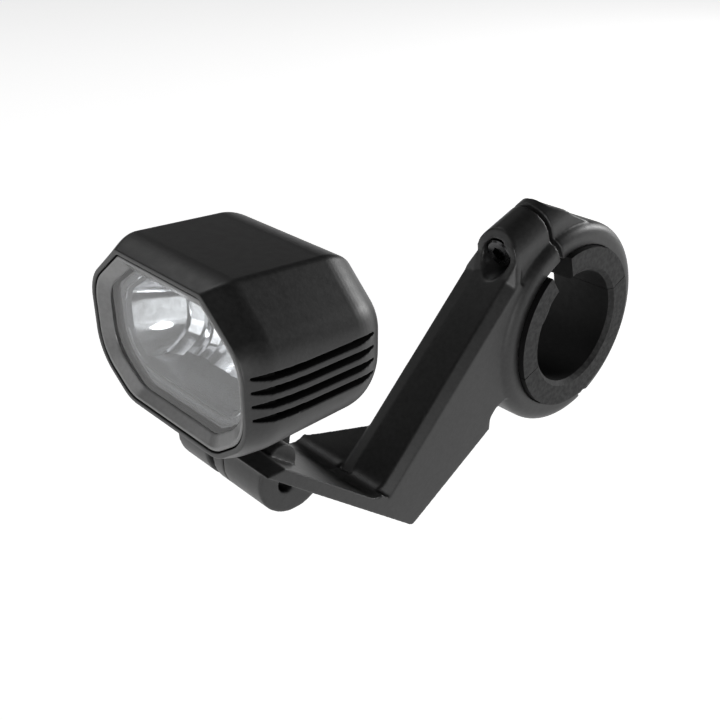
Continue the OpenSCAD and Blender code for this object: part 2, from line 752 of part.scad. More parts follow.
// Boss along the clamp screw, from its side view drawn as [along the screw, away from the bore]
module clamp_boss() {
    at_clamp_screw() intersection() {
        union() {
            rod_y([0, -20, clamp_screw_off], 40, clamp_boss_r);
            translate([-clamp_boss_r, -20, 0]) cube([2 * clamp_boss_r, 40, clamp_screw_off]);
        }
        side_slab(-clamp_boss_r - 1, clamp_boss_r + 1) children();
    }
}
boss_top = clamp_screw_off + clamp_boss_r;

pocket_r = 1.6;
pocket_deep = 2.4;
pocket_fwd = 1.6;
pocket_down = 1.2;

// Knuckle that hooks the cap into the bracket's half of the ring
hook_at = ring_mid * [cos(hook_angle), sin(hook_angle)];
hook_half = half_clamp - clamp_round * 0.4;
module hook_knuckle() {
    rod_x([-hook_half, hook_at[0], hook_at[1]], 2 * hook_half, hook_r);
}
function at_radius(len) = len / ring_mid * 57.2958;

module bracket_arm() {
    color("#232527") difference() {
        union() {
            difference() {
                union() {
                    side_slab(plate_left, plate_right) plate_side();
                    shoulder_wall();
                    side_slab(arm_left, arm_right) arm_side();
                }
                arm_bevels();
            }
            ring_sector(split_angle + at_radius(half_split), 360 + hook_angle + at_radius(hook_bite))
                ring_profile();
            clamp_boss() polygon([[-half_split, boss_foot], [-half_split, boss_top + 1],
                [boss_front + 3, boss_top + 1], [boss_front + 1.6, boss_top - 0.6],
                [boss_front + 0.5, boss_top - 2.2], [boss_front, boss_top - 4],
                [boss_front, boss_foot + 3], [-8, boss_foot - 2]]);
            // Barrel: full knuckle on the left, flattened knuckle on the right
            rod_x([plate_left, pivot[0], pivot[1]], knuckle_left, barrel_r);
            intersection() {
                rod_x([tongue_right + side_gap, pivot[0], pivot[1]], knuckle_right, barrel_r);
                side_slab(tongue_right - 1, plate_right)
                    polygon([tip_back, [tip_back[0] - 20, flat_z], [tip_back[0] - 20, -30],
                        along(tip_back, -plate_dir, 30) + [0, -20], along(tip_back, -plate_dir, 30)]);
            }
            rod_x([tongue_right + side_gap, pivot[0], pivot[1]], pivot_insert_len + 0.9, tunnel_r);
        }
        // Fork slot for the tongue and its washer
        rod_x([knuckle_left_x, pivot[0], pivot[1]], tongue_right + side_gap - knuckle_left_x, slot_reach);
        // Pivot screw
        rod_x([plate_left - 1, pivot[0], pivot[1]], head_h + 1.2, sink_r);
        rod_x([plate_left, pivot[0], pivot[1]], knuckle_left + 1, hole_r);
        rod_x([tongue_right, pivot[0], pivot[1]], pivot_insert_x + pivot_insert_len - tongue_right, insert_r);
        // Small pocket in the end face of the right knuckle
        rod_x([knuckle_right_x - pocket_deep, pivot[0] - pocket_fwd, pivot[1] - pocket_down],
            pocket_deep + eps, pocket_r);
        // Handlebar bore and hook
        rod_x([-far, 0, 0], 2 * far, bore_r);
        rod_x([-half_clamp - 1, hook_at[0], hook_at[1]], clamp_w + 2, hook_r + hook_fit);
        // Clamp screw
        at_clamp_screw() {
            rod_y([0, -20, clamp_screw_off], 20, hole_r);
            rod_y([0, head_seat - 20, clamp_screw_off], 20, sink_r);
        }
    }
}

module clamp_cap() {
    color("#2a2c2e") difference() {
        union() {
            ring_sector(hook_angle + at_radius(hook_bite + 0.1), split_angle - at_radius(half_split))
                ring_profile();
            clamp_boss() polygon([[half_split, boss_foot], [half_split, boss_top + 1], [1.6, boss_top + 1],
                [2.6, boss_top - 1.1], [4.9, boss_top - 2.9], [7, clamp_screw_off - 1],
                [10.2, ring_r - 2.7], [8, boss_foot - 3]]);
            hook_knuckle();
        }
        rod_x([-far, 0, 0], 2 * far, bore_r);
        at_clamp_screw() {
            rod_y([0, 0, clamp_screw_off], clamp_insert_at + clamp_insert_len, insert_r);
            rod_y([0, 0, clamp_screw_off], clamp_screw_len + head_seat + 0.2, hole_r);
        }
    }
}
module clamp_screw() {
    color("#a6a8aa") at_clamp_screw() translate([0, head_seat, clamp_screw_off]) rotate([90, 0, 0])
        socket_screw(clamp_screw_len);
}
module clamp_insert() {
    color("#c9a24b") at_clamp_screw() translate([0, clamp_insert_at, clamp_screw_off]) rotate([-90, 0, 0])
        insert(clamp_insert_len, insert_r);
}

// Reducing shims, with chamfered inner edges
module shim(from_angle, to_angle) {
    cut = seam_cut / 2 / shim_r * 57.2958;
    ring_sector(from_angle + cut, to_angle - cut) polygon([
        [bar_r, -half_shim + shim_edge], [bar_r + shim_edge, -half_shim], [shim_r, -half_shim],
        [shim_r, half_shim], [bar_r + shim_edge, half_shim], [bar_r, half_shim - shim_edge]
    ]);
}
module shim_front() { color("#1b1b1b") shim(shim_gap_mid + shim_gap / 2, seam_front); }
module shim_rear() { color("#1b1b1b") shim(seam_front, seam_rear + 360); }
module shim_top() { color("#1b1b1b") shim(seam_rear, shim_gap_mid - shim_gap / 2); }

housing_shell();
front_bezel();
front_lens();
lens_gasket();
reflector();
led_board();
led_emitter();
led_board_screws();
thermal_pad();
led_carrier();
carrier_screws();
driver_board();
driver_inductor();
driver_capacitor();
board_wires();
cable_grommet();
lamp_foot();
foot_screws();
tilt_washer();
pivot_screw();
pivot_insert();
bracket_arm();
clamp_cap();
clamp_screw();
clamp_insert();
shim_front();
shim_rear();
shim_top();
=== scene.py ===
import math

import bmesh
import bpy
from mathutils import Matrix, Vector


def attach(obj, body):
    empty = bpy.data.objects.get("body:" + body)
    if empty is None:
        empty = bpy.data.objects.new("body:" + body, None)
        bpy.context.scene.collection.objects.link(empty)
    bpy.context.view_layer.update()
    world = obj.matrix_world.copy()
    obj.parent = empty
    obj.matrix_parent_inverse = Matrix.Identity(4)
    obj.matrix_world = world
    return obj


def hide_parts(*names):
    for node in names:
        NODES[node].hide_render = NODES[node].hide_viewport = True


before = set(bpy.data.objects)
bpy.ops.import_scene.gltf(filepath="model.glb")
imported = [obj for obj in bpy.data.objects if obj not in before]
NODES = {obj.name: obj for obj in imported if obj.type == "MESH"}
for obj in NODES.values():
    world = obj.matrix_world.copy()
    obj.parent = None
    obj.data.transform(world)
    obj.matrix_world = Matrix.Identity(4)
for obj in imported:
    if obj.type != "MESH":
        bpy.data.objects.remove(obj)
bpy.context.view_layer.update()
MM = 0.001


def linked(name, data):
    """A new object in the scene."""
    made = bpy.data.objects.new(name, data)
    bpy.context.scene.collection.objects.link(made)
    return made


# Camera, at the photograph's viewing angle
CAMERA_PLACE = (0.10395, -0.1456, 0.0852)
CAMERA_RIGHT = Vector((0.6794, 0.7337, 0))
CAMERA_UP = Vector((-0.3501, 0.3242, 0.8788))
CAMERA_BACK = Vector((0.6448, -0.5971, 0.4772))
camera = linked("camera", bpy.data.cameras.new("camera"))
camera_turn = Matrix((CAMERA_RIGHT, CAMERA_UP, CAMERA_BACK)).transposed().to_4x4()
camera.matrix_world = Matrix.Translation(CAMERA_PLACE) @ camera_turn
camera.data.lens = 50
camera.data.sensor_width = 36
camera.data.clip_start = 0.01
bpy.context.scene.camera = camera
bpy.context.scene.view_settings.view_transform = "Standard"


# Materials
class Look:
    """A node material with helpers for procedural colour, roughness and bump."""

    def __init__(self, name):
        self.material = bpy.data.materials.new(name)
        self.material.use_nodes = True
        self.tree = self.material.node_tree
        self.shader = self.tree.nodes["Principled BSDF"]
        self.where = self.tree.nodes.new("ShaderNodeTexCoord").outputs["Object"]

    def set(self, **values):
        for key, value in values.items():
            self.shader.inputs[key.replace("_", " ")].default_value = value

    def noise(self, scale, detail, stretch=None):
        node = self.tree.nodes.new("ShaderNodeTexNoise")
        node.inputs["Scale"].default_value = scale
        node.inputs["Detail"].default_value = detail
        where = self.where
        if stretch:
            mapping = self.tree.nodes.new("ShaderNodeMapping")
            mapping.inputs["Scale"].default_value = stretch
            self.tree.links.new(self.where, mapping.inputs["Vector"])
            where = mapping.outputs["Vector"]
        self.tree.links.new(where, node.inputs["Vector"])
        return node.outputs["Fac"]

    def ramp(self, factor, low, high, at=(0.35, 0.65)):
        node = self.tree.nodes.new("ShaderNodeValToRGB")
        for element, place, colour in zip(node.color_ramp.elements, at, (low, high)):
            element.position = place
            element.color = (*colour, 1)
        self.tree.links.new(factor, node.inputs["Fac"])
        return node.outputs["Color"]

    def spread(self, factor, low, high):
        node = self.tree.nodes.new("ShaderNodeMapRange")
        node.inputs["To Min"].default_value = low
        node.inputs["To Max"].default_value = high
        self.tree.links.new(factor, node.inputs["Value"])
        return node.outputs["Result"]

    def feed(self, socket, output):
        self.tree.links.new(output, self.shader.inputs[socket])

    def bump(self, height, strength, depth):
        node = self.tree.nodes.new("ShaderNodeBump")
        node.inputs["Strength"].default_value = strength
        node.inputs["Distance"].default_value = depth
        self.tree.links.new(height, node.inputs["Height"])
        self.tree.links.new(node.outputs["Normal"], self.shader.inputs["Normal"])


GRAIN_DEPTH, BRUSH_DEPTH = 0.00004, 0.00002


def moulded(name, dark, light, rough, grain, strength, gloss):
    """Moulded plastic or rubber with a fine erosion grain."""
    look = Look(name)
    look.set(Specular_IOR_Level=gloss)
    look.feed("Base Color", look.ramp(look.noise(grain * 0.6, 4), dark, light))
    look.feed("Roughness", look.spread(look.noise(grain * 0.3, 2), rough - 0.05, rough + 0.07))
    look.bump(look.noise(grain, 3), strength, GRAIN_DEPTH)
    return look.material


def metal(name, colour, rough, brushed=0.0, wear=1500):
    """Metal with fine wear in its roughness and, where brushed, faint lines."""
    look = Look(name)
    look.set(Metallic=1.0)
    lower = [c * 0.82 for c in colour]
    look.feed("Base Color", look.ramp(look.noise(900, 3), lower, colour))
    look.feed("Roughness", look.spread(look.noise(wear, 3), rough - 0.04, rough + 0.08))
    if brushed:
        look.bump(look.noise(700, 2, (1, 1, 9)), brushed, BRUSH_DEPTH)
    return look.material


def grey(value):
    return (value, value, value)


def clear_lens():
    look = Look("lens_clear_coat")
    look.set(Base_Color=(0.93, 0.95, 0.96, 1), Transmission_Weight=1.0, IOR=1.45)
    look.feed("Roughness", look.spread(look.noise(400, 2), 0.0, 0.03))
    return look.material


def shim_rubber_bore_shade():
    """Grainy rubber with painted shade: near black on faces turned away from the x axis, the bore among them,
    and grey on its end faces.
    """
    look = Look("shim_grain_bore_shade")
    look.set(Specular_IOR_Level=0.2)
    facing = look.tree.nodes.new("ShaderNodeTexCoord").outputs["Normal"]
    split = look.tree.nodes.new("ShaderNodeSeparateXYZ")
    look.tree.links.new(facing, split.inputs["Vector"])
    endwise = look.tree.nodes.new("ShaderNodeMath")
    endwise.operation = "ABSOLUTE"
    look.tree.links.new(split.outputs["X"], endwise.inputs[0])
    # Painted shade: faces whose normal lies far from the x axis, such as the bore, get the near-black colour
    mix = look.tree.nodes.new("ShaderNodeMix")
    mix.data_type = "RGBA"
    look.tree.links.new(look.spread(endwise.outputs[0], -0.6, 1.4), mix.inputs["Factor"])
    look.tree.links.new(look.ramp(look.noise(1500, 3), grey(0.0015), grey(0.003)), mix.inputs["A"])
    look.tree.links.new(look.ramp(look.noise(1200, 4), grey(0.02), grey(0.045)), mix.inputs["B"])
    look.feed("Base Color", mix.outputs["Result"])
    look.feed("Roughness", look.spread(look.noise(700, 2), 0.55, 0.75))
    look.bump(look.noise(1500, 3), 0.6, GRAIN_DEPTH)
    return look.material


# Moulded: dark and light colour, roughness, grain scale and strength, gloss
# Metal: colour, roughness, strength of the brushed lines
HOUSING = moulded("housing_grain", grey(0.008), grey(0.014), 0.42, 2600, 0.25, 0.5)
BEZEL = moulded("bezel_grain", grey(0.1), grey(0.125), 0.3, 2000, 0.1, 0.9)
BRACKET = moulded("bracket_grain", grey(0.009), grey(0.016), 0.44, 2200, 0.3, 0.5)
RUBBER = moulded("rubber_grain", grey(0.01), grey(0.016), 0.7, 1800, 0.4, 0.25)
WASHER = moulded("washer_grain", grey(0.04), grey(0.07), 0.5, 1800, 0.3, 0.35)
BOARD_WHITE = moulded("board_white_mask", grey(0.62), grey(0.72), 0.45, 1200, 0.1, 0.5)
BOARD_GREEN = moulded("board_green_mask", (0.012, 0.1, 0.04), (0.02, 0.14, 0.055), 0.35, 1200, 0.1, 0.5)
PAD = moulded("pad_soft", (0.16, 0.22, 0.28), (0.2, 0.27, 0.33), 0.75, 1500, 0.3, 0.3)
WIRE = moulded("wire_sleeve", (0.35, 0.02, 0.02), (0.45, 0.03, 0.03), 0.4, 1200, 0.1, 0.5)
COIL = moulded("inductor_ferrite", grey(0.03), grey(0.05), 0.55, 1500, 0.3, 0.4)
PHOSPHOR = moulded("emitter_phosphor", (0.75, 0.6, 0.12), (0.85, 0.7, 0.2), 0.4, 2500, 0.1, 0.5)
# Painted shade: a near-black material for the grooves' inner faces, standing in for the shade inside them
GROOVE_SHADE_PAINT = moulded("groove_shade", grey(0.003), grey(0.005), 0.75, 2600, 0.3, 0.1)
STEEL = metal("steel_zinc", (0.62, 0.62, 0.63), 0.3, 0.2)
BLACK_STEEL = metal("steel_black_oxide", (0.07, 0.07, 0.072), 0.24, 0.1)
BRASS = metal("brass_turned", (0.75, 0.55, 0.25), 0.3, 0.3)
ALUMINIUM = metal("aluminium_rolled", (0.72, 0.73, 0.74), 0.38, 0.2)
CAN = metal("capacitor_can", (0.6, 0.62, 0.64), 0.3, 0.1)
CHROME = metal("reflector_vapour_coat", (0.72, 0.72, 0.73), 0.1)
SHELF = metal("reflector_shelf_coat", (0.06, 0.06, 0.063), 0.3, wear=120)
LENS = clear_lens()
SHIM_BORE_SHADED = shim_rubber_bore_shade()


# Mesh helpers; points are in millimetres
def new_mesh(name, verts, faces):
    mesh = bpy.data.meshes.new(name)
    mesh.from_pydata([Vector(v) * MM for v in verts], [], faces)
    mesh.update()
    return linked(name, mesh)


def outward(piece):
    """Turns all faces outwards."""
    tool = bmesh.new()
    tool.from_mesh(piece.data)
    bmesh.ops.recalc_face_normals(tool, faces=tool.faces)
    tool.to_mesh(piece.data)
    tool.free()
    return piece


def modifier(piece, kind, **values):
    made = piece.modifiers.new(kind.lower(), kind)
    for key, value in values.items():
        setattr(made, key, value)


def applied(piece):
    """Bakes a piece's modifiers into its mesh."""
    bpy.context.view_layer.update()
    graph = bpy.context.evaluated_depsgraph_get()
    mesh = bpy.data.meshes.new_from_object(piece.evaluated_get(graph))
    piece.modifiers.clear()
    piece.data = mesh
    return piece


def skin(rings, closed=False):
    """Vertices and faces of a surface through rings of points, joined end to end or capped."""
    n, count = len(rings[0]), len(rings)
    verts = [p for ring in rings for p in ring]
    faces = []
    for i in range(count if closed else count - 1):
        a, b = i * n, (i + 1) % count * n
        faces += [(a + j, a + (j + 1) % n, b + (j + 1) % n, b + j) for j in range(n)]
    if not closed:
        faces.append(tuple(range(n - 1, -1, -1)))
        faces.append(tuple((count - 1) * n + j for j in range(n)))
    return verts, faces


def cylinder(name, start, axis, length, radius, steps=48):
    axis = Vector(axis).normalized()
    side = axis.orthogonal().normalized()
    other = axis.cross(side)
    turns = [math.tau * k / steps for k in range(steps)]
    round_ring = [(side * math.cos(turn) + other * math.sin(turn)) * radius for turn in turns]
    rings = [[Vector(start) + axis * d + p for p in round_ring] for d in (0, length)]
    return outward(new_mesh(name, *skin(rings)))


def block(name, low, high):
    """An upright box between two corners."""
    (x0, y0, z0), (x1, y1, z1) = low, high
    rings = [[(x0, y0, z), (x1, y0, z), (x1, y1, z), (x0, y1, z)] for z in (z0, z1)]
    return outward(new_mesh(name, *skin(rings)))


def hull(name, points):
    """The smallest convex solid round some points."""
    tool = bmesh.new()
    for point in points:
        tool.verts.new(Vector(point) * MM)
    bmesh.ops.convex_hull(tool, input=tool.verts)
    bmesh.ops.delete(tool, geom=[v for v in tool.verts if not v.link_faces], context="VERTS")
    mesh = bpy.data.meshes.new(name)
    tool.to_mesh(mesh)
    tool.free()
    return outward(linked(name, mesh))


def thin_sheet(name, verts, faces, facing, thickness):
    """A sheet whose faces look one way, thickened behind them."""
    piece = new_mesh(name, verts, faces)
    tool = bmesh.new()
    tool.from_mesh(piece.data)
    bmesh.ops.remove_doubles(tool, verts=tool.verts, dist=0.02 * MM)
    bmesh.ops.recalc_face_normals(tool, faces=tool.faces)
    tool.to_mesh(piece.data)
    tool.free()
    if sum(p.normal.dot(Vector(facing)) * p.area for p in piece.data.polygons) < 0:
        piece.data.flip_normals()
    modifier(piece, "SOLIDIFY", thickness=thickness * MM, offset=-1)
    return applied(piece)


def carve(piece, cutters):
    for cutter in cutters:
        modifier(piece, "BOOLEAN", operation="DIFFERENCE", solver="MANIFOLD", object=cutter)
    applied(piece)
    for cutter in cutters:
        bpy.data.objects.remove(cutter)
    return piece


def soften(piece, voxel, rounds):
    """Softly rounds all edges, as in a moulding."""
    modifier(piece, "REMESH", mode="VOXEL", voxel_size=voxel * MM, adaptivity=0)
    modifier(piece, "SMOOTH", factor=0.5, iterations=rounds)
    applied(piece)
    for polygon in piece.data.polygons:
        polygon.use_smooth = True
    return piece


def moulded_copy(name, node, voxel, rounds, more=()):
    """A softened copy of a CAD node, with more solids merged into it."""
    tool = bmesh.new()
    tool.from_mesh(NODES[node].data)
    for part in more:
        tool.from_mesh(part.data)
        bpy.data.objects.remove(part)
    mesh = bpy.data.meshes.new(name)
    tool.to_mesh(mesh)
    tool.free()
    return soften(linked(name, mesh), voxel, rounds)


def smooth_shade(piece, angle):
    for polygon in piece.data.polygons:
        polygon.use_smooth = True
    piece.data.set_sharp_from_angle(angle=math.radians(angle))


def dress(piece, material, body, slot, *nodes):
    """Gives a piece its material and its body, and hides the CAD nodes it stands for. The slot is not used.
    """
    piece.data.materials.clear()
    piece.data.materials.append(material)
    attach(piece, body)
    if nodes:
        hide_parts(*nodes)


# Lamp outlines, in millimetres, from the same values as the part's source
LAMP_X, RIM_Y, RIM_Z = -7.5, -80.7, 5.3
RIM_W, RIM_H, DEPTH = 38.6, 25.4, 28.2
HALF = RIM_W / 2
SWELL, ROUND, WALL = 1.0, 9.0, 1.8
BELLY_AT, TAIL_AT, BELLY_LOW = 4.8, DEPTH - ROUND, 1.0
LIP, SHOULDER_AT, BOWL_AT = 0.7, 5.1, 4.1
OPTIC = RIM_H * 0.5
GROOVE_DEEP = 2.4
CABLE_SHIFT, GROMMET_R = 1.5, 2.8
PIVOT_Y = -66.1

# Right halves of the cross-sections, from the lowest corner up
RIM_SHAPE = [(HALF * 0.6, 0), (HALF, RIM_H * 0.22), (HALF, RIM_H * 0.72), (HALF * 0.55, RIM_H)]
BELLY_SHAPE = [
    (HALF * 0.62, -BELLY_LOW), (HALF + SWELL, RIM_H * 0.2),
    (HALF + SWELL, RIM_H * 0.74), (HALF * 0.64, RIM_H + 1.2),
]
TAIL_SHAPE = [
    (HALF * 0.64, -BELLY_LOW + 0.6), (HALF + SWELL, RIM_H * 0.22),
    (HALF + SWELL, RIM_H * 0.7), (HALF * 0.64, RIM_H + 0.3),
]
ROOM_SIDE = HALF + SWELL - GROOVE_DEEP - WALL + 0.4
ROOM_SHAPE = [
    (HALF * 0.6, 2.1), (ROOM_SIDE, RIM_H * 0.26),
    (ROOM_SIDE, RIM_H * 0.7), (HALF * 0.55, RIM_H - 2),
]
CORNER_RADII = [6, 8, 7, 1.6]

# How each corner moves, and its radius shrinks, for every millimetre of inset
CORNER_SHIFT = [(-0.6, 1), (-1, 0.55), (-1, -0.4), (-0.5, -1)]
RADIUS_SHRINK = 0.45


def rounded(corners, radii, steps):
    """An outline with an arc at each corner."""
    out, n = [], len(corners)
    for i in range(n):
        a, b, c = (Vector(corners[(i + k) % n]) for k in (-1, 0, 1))
        u, v = (a - b).normalized(), (c - b).normalized()
        opening = math.acos(max(-1, min(1, u.dot(v))))
        middle = b + (u + v).normalized() * radii[i] / math.sin(opening / 2)
        p = b + u * radii[i] / math.tan(opening / 2) - middle
        q = b + v * radii[i] / math.tan(opening / 2) - middle
        span = math.pi - opening
        for k in range(steps + 1):
            t = k / steps
            out.append(middle + (math.sin((1 - t) * span) * p + math.sin(t * span) * q) / math.sin(span))
    return out


def lamp_outline(half, inset=0.0, steps=14):
    drawn = [(x + inset * dx, z + inset * dz) for (x, z), (dx, dz) in zip(half, CORNER_SHIFT)]
    corners = drawn + [(-x, z) for x, z in reversed(drawn)]
    radii = [max(1, r - inset * RADIUS_SHRINK) for r in CORNER_RADII + CORNER_RADII[::-1]]
    return rounded(corners, radii, steps)


def between(a, b, t):
    return [(p[0] * (1 - t) + q[0] * t, p[1] * (1 - t) + q[1] * t) for p, q in zip(a, b)]


def placed(outline, depth):
    return [(LAMP_X + p[0], RIM_Y + depth, RIM_Z + p[1]) for p in outline]


def rim_rings(profile):
    """Rings along the rim's outline, from (inset, depth) pairs."""
    return [placed(lamp_outline(RIM_SHAPE, inset), depth) for inset, depth in profile]


# Housing
ROOM_TURN, ROOM_STEPS, ROOM_DRAW = math.radians(84), 8, 0.85


def body_ring(depth):
    """The housing's outside: rim to belly, belly to tail, and the rounded rear edge."""
    if depth <= BELLY_AT:
        half = between(RIM_SHAPE, BELLY_SHAPE, math.sin(math.pi / 2 * depth / BELLY_AT))
    else:
        half = between(BELLY_SHAPE, TAIL_SHAPE, min(1, (depth - BELLY_AT) / (TAIL_AT - BELLY_AT)))
    inset = 0
    if depth > TAIL_AT:
        inset = ROUND * (1 - math.sqrt(max(0, 1 - ((depth - TAIL_AT) / ROUND) ** 2)))
    return placed(lamp_outline(half, inset), depth)


def room_ring(angle):
    """The room inside, drawn in towards its back a little less than the outside."""
    bend = ROUND - WALL
    inset = bend * (1 - math.cos(angle)) * ROOM_DRAW
    return placed(lamp_outline(ROOM_SHAPE, inset), TAIL_AT + bend * math.sin(angle))


def housing_blank():
    """The shell before its grooves: from the room's back forwards, round the lip and back outside."""
    inside = [room_ring(ROOM_TURN * i / ROOM_STEPS) for i in range(ROOM_STEPS, -1, -1)]
    inside.append(placed(lamp_outline(ROOM_SHAPE), SHOULDER_AT))
    inside += rim_rings([(LIP, SHOULDER_AT), (LIP, 0)])
    depths = [BELLY_AT * i / 12 for i in range(13)]
    depths += [BELLY_AT + (TAIL_AT - BELLY_AT) * i / 6 for i in range(1, 6)]
    depths += [TAIL_AT + ROUND * math.sin(math.pi / 2 * i / 20) for i in range(21)]
    outside = [body_ring(d) for d in depths]
    return outward(new_mesh("lamp_housing", *skin(inside + outside)))


GROOVE_LEN, GROOVE_H, GROOVE_PITCH, GROOVE_COUNT, GROOVE_LIFT = 22.6, 1.15, 2.1, 4, 0.9
GROOVE_Z = RIM_Z + RIM_H * 0.6
GROOVE_FROM = 0.7
GROOVE_IN = HALF + SWELL - GROOVE_DEEP

# Shares of a groove's length that are bent and that widen from the front, and the fullness of its ends
GROOVE_BEND, GROOVE_TIP, FRONT_FULL, REAR_FULL = 0.45, 0.16, 0.12, 2.4


def groove_leaf(t):
    """Middle and half height of a groove at a share of its length, tapered at both ends."""
    middle = GROOVE_LIFT * max(0, 1 - t / GROOVE_BEND) ** 2
    front = FRONT_FULL + (t / GROOVE_TIP) ** 0.8
    rear = REAR_FULL * math.sqrt(max(0, 1 - t))
    return middle, GROOVE_H / 2 * min(1, front, rear)


def groove_prism(name, side, index, x0, start):
    """A leaf in the side view, extruded outwards from x0. Its points crowd at the front tip."""
    steps, tip = 40, 0.001
    at = [start + (1 - start) * (k / steps) ** 1.5 for k in range(steps + 1)]
    leaf = [(t, *groove_leaf(t)) for t in at]
    loop = [(t, m + h + tip) for t, m, h in leaf] + [(t, m - h - tip) for t, m, h in reversed(leaf)]
    z0 = GROOVE_Z - index * GROOVE_PITCH
    rings = []
    for x in (x0, HALF + SWELL + 3):
        rings.append([(LAMP_X + side * x, RIM_Y + GROOVE_FROM + t * GROOVE_LEN, z0 + z) for t, z in loop])
    return outward(new_mesh(name, *skin(rings)))


def paint_groove_shade(piece):
    """Gives the grooves' inner faces a near-black material: painted shade standing in for the darkness inside
    the grooves.
    """
    # Margins below and beside a groove, and the share of its length left out at each end
    below, beside, end = 0.4, 0.02, 0.01
    # Painted shade: faces inside each groove's leaf get the near-black material
    piece.data.materials.append(GROOVE_SHADE_PAINT)
    for polygon in piece.data.polygons:
        x, y, z = (c / MM for c in polygon.center)
        t = (y - RIM_Y - GROOVE_FROM) / GROOVE_LEN
        if abs(x - LAMP_X) < GROOVE_IN - below or not end < t < 1 - end:
            continue
        middle, half = groove_leaf(t)
        for i in range(GROOVE_COUNT):
            if abs(z - GROOVE_Z + i * GROOVE_PITCH - middle) < half + beside:
                polygon.material_index = 1


def build_housing():
    piece = housing_blank()
    inside, through = 3, 4
    cable_from = (LAMP_X - CABLE_SHIFT, RIM_Y + DEPTH - inside, RIM_Z + OPTIC)
    carve(piece, [cylinder("cable_hole", cable_from, (0, 1, 0), through, GROMMET_R)])
    cutters = []
    deep_from = (SHOULDER_AT + 0.3 - GROOVE_FROM) / GROOVE_LEN
    for side in (-1, 1):
        for i in range(GROOVE_COUNT):
            cutters.append(groove_prism("groove_shallow", side, i, HALF - LIP + 0.3, 0.0))
            cutters.append(groove_prism("groove_deep", side, i, GROOVE_IN, deep_from))
    half_w, half_l, floor_z, roof_z = 8.6, 7.6, 3.0, 6.3
    low = (LAMP_X - half_w, PIVOT_Y - half_l, floor_z)
    high = (LAMP_X + half_w, PIVOT_Y + half_l, roof_z)
    cutters.append(block("foot_recess", low, high))
    carve(piece, cutters)
    soften(piece, voxel=0.14, rounds=3)
    dress(piece, HOUSING, "lamp", "housing_black", "housing_shell")
    paint_groove_shade(piece)


def build_bezel():
    """A ring with a flat front edge and a sloping inner wall, down to the lens's seat."""
    out, edge, slope = LIP + 0.2, 0.5, 1.5
    brow = out + edge
    seat = brow + slope
    profile = [
        (out + 0.05, 4.0), (out, 3.95), (out, 0.33), (out + 0.03, 0.22), (out + 0.12, 0.15),
        (brow - 0.15, 0.15), (brow - 0.02, 0.19), (brow + 0.1, 0.3),
    ]
    profile += [(brow + 0.1 + (slope - 0.2) * t / 6, 0.3 + 1.05 * t / 6) for t in range(1, 7)]
    profile += [
        (seat - 0.04, 1.43), (seat, 1.5), (seat, 1.6),
        (seat - 0.9, 1.6), (seat - 1.3, 1.6), (seat - 1.3, 4.0),
    ]
    piece = outward(new_mesh("bezel_ring", *skin(rim_rings(profile), closed=True)))
    smooth_shade(piece, 40)
    dress(piece, BEZEL, "lamp", "bezel_black", "front_bezel")


# Reflector: bowl of upright columns, half-moon shelf and front flange
BOWL_DEPTH, BOWL_MOUTH, FLOOR_RISE = 10.5, 4.3, 6.2
BOWL_LEVEL, BOWL_FULL = 0.2, 3.2
LED_R = 1.9
MOUTH = lamp_outline(RIM_SHAPE, BOWL_MOUTH, 10)

# Columns from the middle outwards: their edges, how far each is turned, and how much curve they keep
COLUMN_EDGES = [2.1, 4.6, 6.4, 8.0, 10.4, 14.9]
COLUMN_TILT = [0.0, 0.22, -0.18, 0.3, -0.12, 0.1]
COLUMN_FLAT = 0.35
COLUMN_ROWS, COLUMN_ACROSS = 28, 5


def mouth_share(x, z):
    """How far a point lies from the optic's axis, as a share of the way to the mouth's outline."""
    share = 0.0
    for a, b in zip(MOUTH, MOUTH[1:] + MOUTH[:1]):
        nx, nz = b[1] - a[1], a[0] - b[0]
        reach = nx * a[0] + nz * (a[1] - OPTIC)
        share = max(share, (nx * x + nz * (z - OPTIC)) / reach) if reach else share
    return min(1.0, share)


def bowl_depth(x, z):
    """Depth of the smooth bowl behind its front, level in the middle and steep at the mouth."""
    s = max(0.0, (mouth_share(x, z) - BOWL_LEVEL) / (1 - BOWL_LEVEL))
    return BOWL_DEPTH * (1 - s ** BOWL_FULL)


def mouth_span(x):
    """Lower and upper height of the mouth at a distance from its middle."""
    heights = []
    for a, b in zip(MOUTH, MOUTH[1:] + MOUTH[:1]):
        if min(a[0], b[0]) <= x <= max(a[0], b[0]) and a[0] != b[0]:
            heights.append(a[1] + (b[1] - a[1]) * (x - a[0]) / (b[0] - a[0]))
    return min(heights), max(heights)


def column_line(x, middle, flat, turned):
    """One upright line of a column. Its ends run forward to the flange, except where it meets the shelf."""
    low, high = mouth_span(x)
    base, front = max(low, FLOOR_RISE), 0.1
    line = []
    for i in range(COLUMN_ROWS + 3):
        z = base + (high - base) * min(max((i - 1) / COLUMN_ROWS, 0), 1)
        depth = bowl_depth(middle + (x - middle) * flat, z) + turned * (x - middle)
        if (i == 0 and low >= FLOOR_RISE) or i == COLUMN_ROWS + 2:
            depth = front
        line.append((LAMP_X + x, RIM_Y + BOWL_AT + min(max(depth, front), BOWL_DEPTH), RIM_Z + z))
    return line


